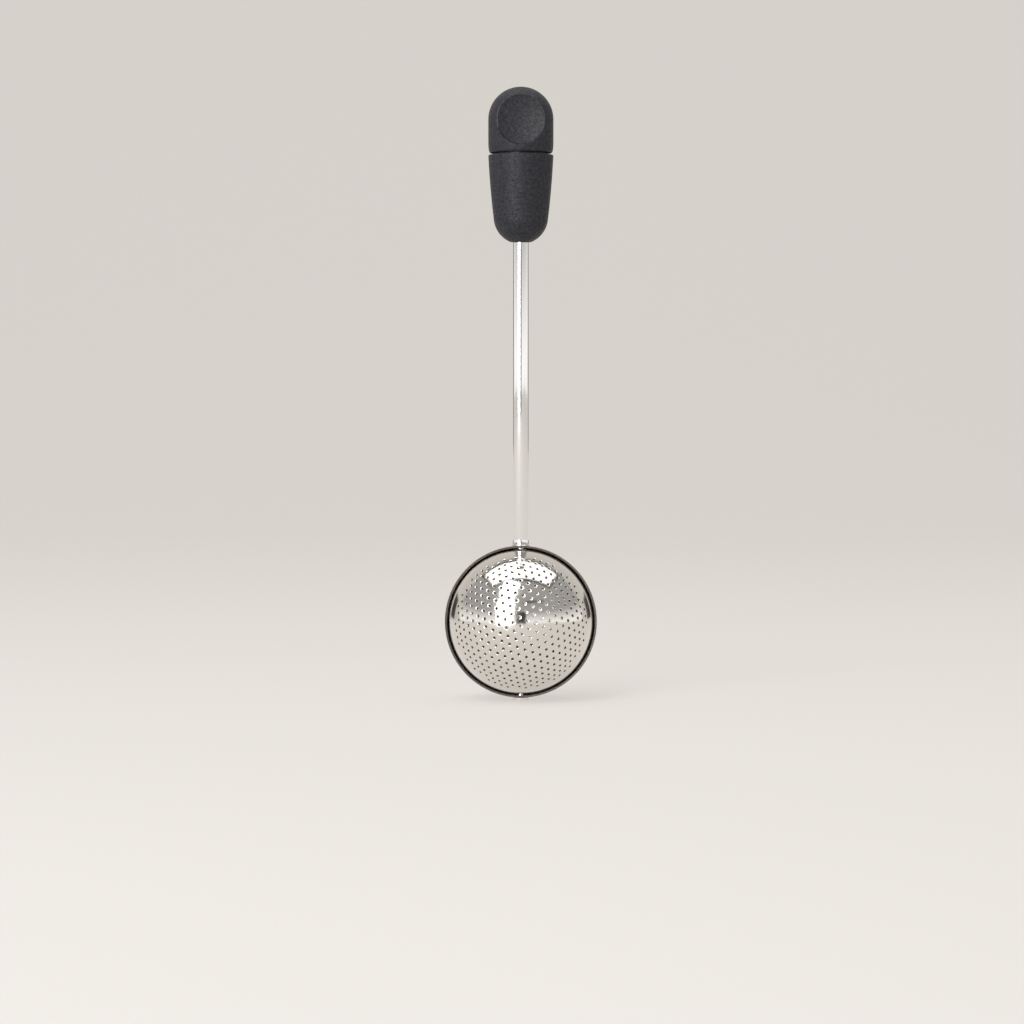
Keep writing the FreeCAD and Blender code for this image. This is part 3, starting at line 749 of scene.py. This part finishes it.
@dataclass
class HalfShell:
    """A half of the ball: flat punched sheet, drawn into a shell, with a plain margin and a sheared rim."""

    name: str
    node: str
    facing: Facing
    body: Body
    material: bpy.types.Material
    # The rim's material, dark with painted shade.
    rim_material_painted_shade: bpy.types.Material
    stem_hole_mm: float
    pivot_hole_mm: float
    sheet_mm: float = 0.6
    overlap_mm: float = 3.0
    pitch_mm: float = 2.45
    hole_mm: float = 0.44
    lip_mm: float = 0.64
    dip_mm: float = 0.12
    lip_slope: float = 0.75
    row_angle: float = -20.5
    punched_angle: float = 63.0
    grid_spare: float = 1.2
    plug_corners: int = 12
    join_angle: float = 68.0
    ring_mm: float = 1.1
    ring_segments: int = 168
    drill_clear_mm: float = 0.25
    drill_segments: int = 32
    rim_reach_mm: float = 0.12
    rim_round_mm: float = 0.08
    rim_band_mm: float = 0.2
    skin_cosine: float = 0.6

    def __post_init__(self) -> None:
        """Read the shell's size and place from the frame."""
        low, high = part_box(self.node)
        self.radius = (high.x - low.x) / 2
        self.centre = Vector((0.0, 0.0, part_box("outer_half")[1].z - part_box("outer_half")[1].x))
        self.rim_plane = -self.facing.value * self.overlap_mm * MM

    def at_rim(self, verts: Iterable[bmesh.types.BMVert]) -> bool:
        """Whether every one of the vertices is at the rim."""
        reach = self.rim_reach_mm * MM
        return all((v.co.y - self.rim_plane) * -self.facing.value > -reach for v in verts)

    def flat_sheet(self) -> BMesh:
        """Lay out a sheet of small triangles, two to a hole pitch, as large as the punched field.

        Returns:
            The sheet, with the layer that marks the centres of holes.
        """
        step = self.pitch_mm * MM / 2
        reach = math.radians(self.punched_angle) * self.radius + step
        count = 2 * math.ceil(reach / step * self.grid_spare)
        bm = bmesh.new()
        bmesh.ops.create_grid(bm, x_segments=count, y_segments=count, size=count / 2)
        hole = bm.verts.layers.int.new(HOLE)
        for vert in bm.verts:
            vert[hole] = all(round(value + count / 2) % 2 == count // 2 % 2 for value in vert.co.xy)
        row = step * math.sqrt(3) / 2
        slant = Matrix(((step, step / 2, 0, 0), (0, row, 0, 0), (0, 0, 1, 0), (0, 0, 0, 1)))
        turn = Matrix.Rotation(math.radians(self.row_angle), 4, "Z")
        bmesh.ops.transform(bm, matrix=turn @ slant, verts=bm.verts)
        bmesh.ops.triangulate(bm, faces=bm.faces, quad_method="SHORT_EDGE")
        outside = [v for v in bm.verts if v.co.length > reach]
        bmesh.ops.delete(bm, geom=outside, context="VERTS")
        return bm

    def punch(self, bm: BMesh) -> None:
        """Open a round hole with a pressed lip at every marked point of the flat sheet.

        Args:
            bm: the flat sheet.
        """
        hole = bm.verts.layers.int[HOLE]
        chosen = [v for v in bm.verts if v[hole] and not v.is_boundary]
        made = bmesh.ops.bevel(bm, geom=chosen, offset=self.lip_mm * MM, offset_type="OFFSET", segments=2,
                               profile=0.5, affect="VERTICES", material=-1)
        # The bevel leaves a fan of faces at each point, and without its middle a fan is one plug.
        fans = set(made["faces"])
        middles = [v for v in made["verts"] if all(f in fans for f in v.link_faces)]
        before = set(bm.faces) - fans
        bmesh.ops.dissolve_verts(bm, verts=middles)
        plugs = [f for f in bm.faces if f not in before and len(f.verts) == self.plug_corners]
        for plug in plugs:
            middle = plug.calc_center_median()
            for vert in plug.verts:
                vert.co = middle + (vert.co - middle).normalized() * self.lip_mm * MM
        lips = bmesh.ops.inset_individual(bm, faces=plugs, thickness=(self.lip_mm - self.hole_mm) * MM,
                                          use_even_offset=True)["faces"]
        lip = bm.verts.layers.float_vector.new(LIP)
        for plug in plugs:
            middle = plug.calc_center_median()
            for vert in plug.verts:
                vert[lip] = (vert.co - middle).normalized()
                vert.co.z = -self.dip_mm * MM
        bmesh.ops.delete(bm, geom=plugs, context="FACES")
        LOG.info("%s: %d holes, %d lip faces", self.name, len(plugs), len(lips))

    def margin(self, bm: BMesh) -> None:
        """Add the plain margin: fill out to a circle, then ring after ring to the rim.

        Args:
            bm: the flat punched sheet.
        """
        ragged = [e for e in bm.edges if e.is_boundary and all(v.co.z > -MERGE for v in e.verts)]
        join = math.radians(self.join_angle) * self.radius
        circle = bmesh.ops.create_circle(bm, segments=self.ring_segments, radius=join)["verts"]
        loop = list({e for v in circle for e in v.link_edges})
        bmesh.ops.triangle_fill(bm, edges=ragged + loop, use_beauty=True, use_dissolve=False, normal=AXIS)
        rim = (math.pi / 2 + math.asin(self.overlap_mm * MM / self.radius)) * self.radius
        rings = math.ceil((rim - join) / (self.ring_mm * MM))
        radius = join
        for i in range(1, rings + 1):
            following = join + (rim - join) * i / rings
            made = bmesh.ops.extrude_edge_only(bm, edges=loop)["geom"]
            verts = {g for g in made if isinstance(g, bmesh.types.BMVert)}
            drawn = [g for g in made if isinstance(g, bmesh.types.BMEdge)]
            loop = [e for e in drawn if all(v in verts for v in e.verts)]
            bmesh.ops.scale(bm, vec=(following / radius, following / radius, 1.0), verts=list(verts))
            radius = following

    def draw_into_shell(self, bm: BMesh) -> None:
        """Wrap the flat sheet on the ball, keeping distances from its middle.

        Args:
            bm: the flat sheet with its margin.
        """
        layer = bm.verts.layers.float_vector[LIP]
        for vert in bm.verts:
            flat = Vector((vert.co.x, 0.0, vert.co.y))
            turn = flat.length / self.radius
            flat.normalize()
            outward = flat * math.sin(turn) + Vector((0.0, self.facing.value * math.cos(turn), 0.0))
            along = flat * math.cos(turn) - Vector((0.0, self.facing.value * math.sin(turn), 0.0))
            lip = Vector((vert[layer].x, 0.0, vert[layer].y))
            vert[layer] = along * lip.dot(flat) + (lip - flat * lip.dot(flat))
            vert.co = self.centre + outward * (self.radius + vert.co.z)

    def drill(self, bm: BMesh, radius: float, side: float) -> None:
        """Open a round hole about the stem's axis at the top or bottom of the ball.

        Args:
            bm: the drawn sheet, still one layer.
            radius: the hole's radius.
            side: 1 for the top and -1 for the bottom.
        """
        clear = radius + self.drill_clear_mm * MM
        doomed = {v for v in bm.verts if v.co.xy.length < clear and (v.co.z - self.centre.z) * side > 0}
        cleared = {f for v in doomed for f in v.link_faces}
        border = {e for f in cleared for e in f.edges if not any(v in doomed for v in e.verts)}
        inner = [e for e in border if len(e.link_faces) == 2 and all(f in cleared for f in e.link_faces)]
        bmesh.ops.delete(bm, geom=list(doomed), context="VERTS")
        bmesh.ops.delete(bm, geom=inner, context="EDGES")
        edges = [e for e in border if e.is_valid]
        height = self.centre.z + side * math.sqrt(self.radius**2 - radius**2)
        circle = bmesh.ops.create_circle(bm, segments=self.drill_segments, radius=radius,
                                         matrix=Matrix.Translation((0, 0, height)))["verts"]
        loop = list({e for v in circle for e in v.link_edges})
        bmesh.ops.triangle_fill(bm, edges=edges + loop, use_beauty=True, use_dissolve=False, normal=AXIS)

    def thicken(self, bm: BMesh) -> None:
        """Give the shell its sheet thickness inwards, round its rim and give the rim the cut edge's
        material, dark with painted shade.

        Args:
            bm: the drawn and drilled sheet, one layer.
        """
        skin = bmesh.ops.extrude_face_region(bm, geom=bm.faces[:], use_keep_orig=True)["geom"]
        inward = 1 - self.sheet_mm * MM / self.radius
        for vert in (g for g in skin if isinstance(g, bmesh.types.BMVert)):
            vert.co = self.centre + (vert.co - self.centre) * inward
        bmesh.ops.recalc_face_normals(bm, faces=bm.faces)
        rim = [e for e in bm.edges if self.at_rim(e.verts)]
        round_edges(bm, self.rim_round_mm * MM, edges=rim)
        # The rim gets the second material, whose dark colour is painted shade.
        for face in bm.faces:
            if self.at_rim(face.verts):
                face.material_index = 1

    def shade(self, piece: bpy.types.Object) -> None:
        """Give the sheet true ball normals, and the lips a rounded look.

        Args:
            piece: the finished shell.
        """
        mesh = piece.data
        lips = [item.vector.copy() for item in mesh.attributes[LIP].data]
        normals = [Vector(corner.vector) for corner in mesh.corner_normals]
        for face in mesh.polygons:
            out = (face.center - self.centre).normalized()
            # The walls of the holes and the rim keep their own normals.
            near_rim = abs(face.center.y - self.rim_plane) < self.rim_band_mm * MM
            if near_rim or abs(face.normal.dot(out)) < self.skin_cosine:
                continue
            sign = 1 if face.normal.dot(out) > 0 else -1
            for corner, index in zip(face.loop_indices, face.vertices):
                radial = (mesh.vertices[index].co - self.centre).normalized()
                normals[corner] = (radial * sign - lips[index] * self.lip_slope).normalized()
        mesh.normals_split_custom_set(normals)

    def build(self) -> None:
        """Punch, draw, drill, thicken and finish the half shell."""
        bm = self.flat_sheet()
        self.punch(bm)
        self.margin(bm)
        self.draw_into_shell(bm)
        self.drill(bm, self.stem_hole_mm * MM, 1.0)
        self.drill(bm, self.pivot_hole_mm * MM, -1.0)
        self.thicken(bm)
        piece = publish(bm, self.name, self.material, self.body, [self.node])
        piece.data.materials.append(self.rim_material_painted_shade)
        self.shade(piece)


@dataclass
class Ball:
    """The two half shells, the boss of the turning one, and the pivot at the bottom."""

    finishes: Finishes

    def build(self) -> None:
        """Make the two shells, and dress the boss, rivet and cap."""
        # The edge material is dull steel made dark with painted shade.
        steel, edge = self.finishes.ball_steel, self.finishes.cut_steel
        HalfShell("front_shell", "inner_half", Facing.FRONT, Body.TURNING, steel, edge,
                  stem_hole_mm=1.25, pivot_hole_mm=1.0).build()
        HalfShell("back_shell", "outer_half", Facing.BACK, Body.FIXED, steel, edge,
                  stem_hole_mm=2.35, pivot_hole_mm=1.05).build()
        dress("inner_hub", self.finishes.stem_steel)
        dress("pivot_rivet", self.finishes.stem_steel)
        dress("pivot_cap", self.finishes.stem_steel)


# Studio ---------------------------------------------------------------------------------------


@dataclass
class Softbox:
    """A rectangular soft light in a black frame, or without light a plain black card, sized in metres."""

    name: str
    place: tuple[float, float, float]
    size: tuple[float, float]
    radiance: float = 0.0
    frame: float = 0.0

    def build(self, aim: Vector, black: bpy.types.Material) -> None:
        """Hang the light and its frame, or the card.

        Args:
            aim: the point that it faces.
            black: the frame's material.
        """
        away = Vector(self.place) - aim
        stand = Matrix.Translation(self.place) @ away.to_track_quat("Z", "Y").to_matrix().to_4x4()
        if self.radiance > 0:
            data = bpy.data.lights.new(self.name, "AREA")
            data.shape = "RECTANGLE"
            data.size, data.size_y = self.size
            data.energy = self.radiance * math.pi * self.size[0] * self.size[1]
            add_object(self.name, data).matrix_world = stand
        bm = bmesh.new()
        bmesh.ops.create_grid(bm, x_segments=1, y_segments=1, size=0.5)
        wide, tall = (side + 2 * self.frame for side in self.size)
        bmesh.ops.scale(bm, vec=(wide, tall, 1), verts=bm.verts)
        if self.frame > 0:
            inner = bm.faces[:]
            bmesh.ops.inset_individual(bm, faces=inner, thickness=self.frame)
            bmesh.ops.delete(bm, geom=inner, context="FACES")
        bmesh.ops.transform(bm, matrix=stand, verts=bm.verts)
        mesh = free_to_mesh(bm, f"{self.name}_card")
        mesh.materials.append(black)
        card = add_object(mesh.name, mesh)
        card.visible_camera = card.visible_shadow = card.visible_diffuse = False


@dataclass
class Studio:
    """A pale sweep, soft lights, a pale room and the camera.

    The sweep and the room have one brightness to the eye and another in reflections or on dull surfaces.
    """

    backdrop: str = "D6D1CB"
    paper: str = "737270"
    glow: float = 0.81
    mirrored_glow: float = 0.98
    room_tint: str = "F6F4F2"
    room_level_glow: float = 1.4
    room_high_glow: float = 0.5
    room_rise: tuple[float, float] = (0.03, 0.3)
    room_fill: float = 0.3
    room_seen: float = 0.66
    lit_height_mm: float = 90.0
    eye_height_mm: float = 88.0
    aim_height_mm: float = 55.35
    aside_mm: float = -2.6
    distance_mm: float = 1100.0
    lens_mm: float = 131.6

    def sweep(self) -> None:
        """Draw a floor that curves up into a wall behind the infuser, in metres."""
        bm = bmesh.new()
        near, wall, curve, height, half, steps = -3.0, 1.9, 0.7, 3.0, 4.0, 15
        outline = [(near, 0.0)] + arc((wall - curve, curve), curve, -90, 0, steps) + [(wall, height)]
        verts = [bm.verts.new((-half, y, z)) for y, z in outline]
        edges = [bm.edges.new(pair) for pair in zip(verts, verts[1:])]
        made = bmesh.ops.extrude_edge_only(bm, edges=edges)["geom"]
        far_side = [g for g in made if isinstance(g, bmesh.types.BMVert)]
        bmesh.ops.translate(bm, vec=(2 * half, 0, 0), verts=far_side)
        mesh = free_to_mesh(bm, "sweep")
        mesh.shade_smooth()
        material, shader = blank_material("pale_paper", self.paper)
        shader.inputs["Roughness"].default_value = 0.95
        shader.inputs["Specular IOR Level"].default_value = 0.1
        shader.inputs["Emission Color"].default_value = linear(self.backdrop)
        tree = material.node_tree
        mirrored = add_node(tree, "ShaderNodeLightPath").outputs["Is Glossy Ray"]
        strength = add_node(tree, "ShaderNodeMix", {"data_type": "FLOAT"}, {
            FACTOR: mirrored, VALUE_A: self.glow, VALUE_B: self.mirrored_glow})
        tree.links.new(strength.outputs[MIXED_VALUE], shader.inputs["Emission Strength"])
        mesh.materials.append(material)
        piece = add_object("sweep", mesh)

    def lights(self) -> None:
        """Hang a tall key in two panels on the left, a wide overhead, and the black cards.

        The cards show only in reflections: before the lens, on a boom, and at both sides behind.
        """
        black = blank_material("black_card", "050505")[0]
        aim = AXIS * self.lit_height_mm * MM
        for box in (
            Softbox("key_low", (-0.53, -1.08, 0.4), (0.56, 0.87), radiance=9.2, frame=0.07),
            Softbox("key_high", (-0.37, -0.72, 1.12), (0.5, 0.62), radiance=8.6, frame=0.07),
            Softbox("overhead", (0.0, 0.07, 1.4), (2.1, 0.9), radiance=1.9, frame=0.16),
            Softbox("lens_side", (0.0, -1.3, 0.21), (0.36, 0.44)),
            Softbox("boom", (0.34, -0.85, 0.62), (0.6, 0.06)),
            Softbox("left_flag", (-0.75, 0.8, 0.14), (0.32, 0.26)),
            Softbox("right_flag", (0.75, 0.8, 0.14), (0.32, 0.26)),
        ):
            box.build(aim, black)

    def room(self) -> None:
        """Make a pale room, brightest at eye level."""
        world = bpy.data.worlds.new("room")
        world.use_nodes = True
        tree = world.node_tree
        background = tree.nodes["Background"]
        place = add_node(tree, "ShaderNodeTexCoord").outputs["Generated"]
        rise = add_node(tree, "ShaderNodeSeparateXYZ", inputs={0: place}).outputs["Z"]
        level = add_node(tree, "ShaderNodeMath", {"operation": "ABSOLUTE"}, {0: rise}).outputs["Value"]
        glow = remap(tree, level, self.room_level_glow, self.room_high_glow, *self.room_rise)
        path = add_node(tree, "ShaderNodeLightPath").outputs
        filled = add_node(tree, "ShaderNodeMix", {"data_type": "FLOAT"}, {
            FACTOR: path["Is Diffuse Ray"], VALUE_A: glow, VALUE_B: self.room_fill})
        strength = add_node(tree, "ShaderNodeMix", {"data_type": "FLOAT"}, {
            FACTOR: path["Is Camera Ray"], VALUE_A: filled.outputs[MIXED_VALUE], VALUE_B: self.room_seen})
        background.inputs["Color"].default_value = linear(self.room_tint)
        tree.links.new(strength.outputs[MIXED_VALUE], background.inputs["Strength"])
        bpy.context.scene.world = world

    def camera(self) -> None:
        """Set up a long lens at half the infuser's height, a little to the left, tilted slightly down."""
        data = bpy.data.cameras.new("camera")
        data.lens = self.lens_mm
        data.clip_start, data.clip_end = 0.05, 20.0
        camera = add_object("camera", data)
        camera.location = (self.aside_mm * MM, -self.distance_mm * MM, self.eye_height_mm * MM)
        aim = Vector((self.aside_mm * MM, 0.0, self.aim_height_mm * MM))
        camera.rotation_euler = (aim - camera.location).to_track_quat("-Z", "Y").to_euler()
        bpy.context.scene.camera = camera

    def build(self) -> None:
        """Set up the sweep, lights, room, camera and plain tone curve."""
        self.sweep()
        self.lights()
        self.room()
        self.camera()
        bpy.context.scene.view_settings.view_transform = "Standard"


def main() -> None:
    """Build every sub-assembly and the studio, logging each piece's face count."""
    logging.basicConfig(level=logging.INFO, format="%(message)s")
    finishes = Finishes.build()
    for assembly in (Knob(finishes), Grip(finishes), Stem(finishes), Ball(finishes), Studio()):
        assembly.build()


if __name__ == "__main__":
    main()
